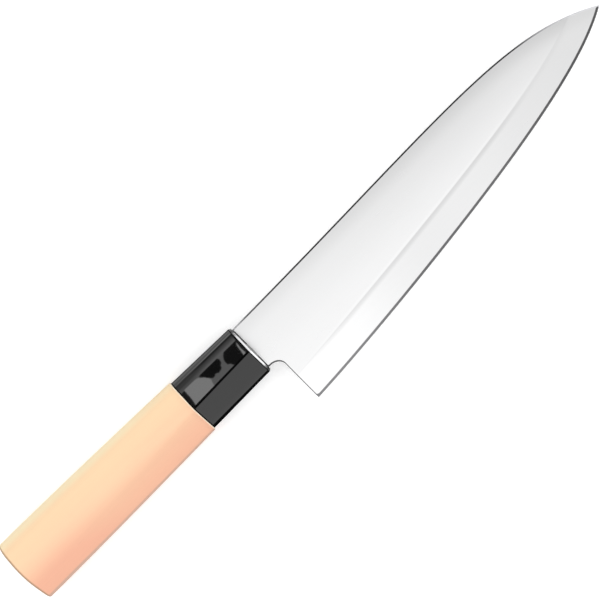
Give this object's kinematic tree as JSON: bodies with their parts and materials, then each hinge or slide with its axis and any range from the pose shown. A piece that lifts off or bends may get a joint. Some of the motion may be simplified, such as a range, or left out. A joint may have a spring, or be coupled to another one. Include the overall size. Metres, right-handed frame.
{
  "type": "japanese kitchen knife",
  "caption": "Japanese chef's knife: satin steel blade with a ground bevel line and hidden tang, glossy black ferrule and pale D-section wooden handle.",
  "frame": {"origin": "under the middle of the knife's box, on the plane that the handle's left side lies on", "axes": "+X along the blade towards the tip, +Y towards the spine, +Z out of the blade's right side, with the blade's plane parallel to XY"},
  "size_m": [0.3064, 0.0452, 0.0204],
  "materials": {
    "blade_steel": "satin, ground lengthways with a finer ground bevel",
    "ferrule_plastic": "moulded, polished",
    "handle_wood": "sanded smooth, unvarnished pale magnolia",
    "adhesive": "cured resin"
  },
  "bodies": {
    "root": {"blade": "blade_steel", "ferrule": "ferrule_plastic", "handle": "handle_wood", "tang_adhesive": "adhesive"}
  },
  "joints": []
}
